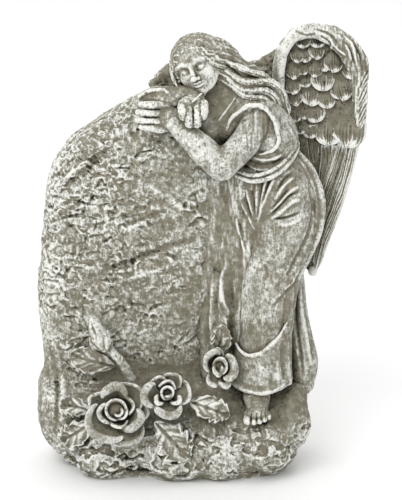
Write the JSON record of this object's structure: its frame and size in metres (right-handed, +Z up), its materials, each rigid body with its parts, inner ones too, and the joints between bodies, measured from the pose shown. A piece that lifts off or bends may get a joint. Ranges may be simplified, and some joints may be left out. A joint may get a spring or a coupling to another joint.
{
  "type": "figurine",
  "caption": "A cast resin garden memorial figurine: a winged angel in a long gown leans on a rough upright stone, with roses and leaves on a rock base.",
  "frame": {"origin": "on the flat underside of the rock, below the middle of the figurine's width", "axes": "+Z up, -Y the front, +X to the viewer's right when facing the front"},
  "size_m": [0.1481, 0.068, 0.201],
  "materials": {
    "stone": "rough cast resin, grey-brown wash with white dry brushing on the raised grain",
    "figure": "matt cast resin, off-white over a grey-brown wash",
    "wing": "matt cast resin, dark wash between the feathers, white on their rims",
    "flower": "matt cast resin, dark wash between the petals, white on their rims"
  },
  "bodies": {
    "root": {"back_drape": "figure", "base_rock": "stone", "big_rose_heart": "flower", "big_rose_inner_petals": "flower", "big_rose_outer_petals": "flower", "bodice": "figure", "bodice_hem": "figure", "covert_1": "wing", "covert_2": "wing", "covert_3": "wing", "covert_4": "wing", "crest_slab": "stone", "feather_row_1": "wing", "feather_row_2": "wing", "feather_row_3": "wing", "feather_row_4": "wing", "feather_row_5": "wing", "feather_row_6": "wing", "front_leaf": "flower", "hair_cap": "figure", "hair_lock_1": "figure", "hair_lock_2": "figure", "hair_lock_3": "figure", "head": "figure", "inner_drape": "figure", "left_arm": "figure", "left_foot": "figure", "left_hand": "figure", "left_leaf": "flower", "memorial_stone": "stone", "neck": "figure", "overskirt_edge": "figure", "primary_1": "wing", "primary_2": "wing", "primary_3": "wing", "primary_4": "wing", "right_forearm": "figure", "right_hand": "figure", "right_leaf": "flower", "rosebud": "flower", "rosebud_sepals": "flower", "rosebud_stem": "flower", "side_lock": "figure", "side_rose": "flower", "skirt": "figure", "skirt_cuff": "figure", "sleeve": "figure", "sleeve_edge": "figure", "small_rose_heart": "flower", "small_rose_inner_petals": "flower", "small_rose_outer_petals": "flower", "stem_leaf": "flower", "wing_arch": "wing", "wing_panel": "wing"}
  },
  "joints": []
}
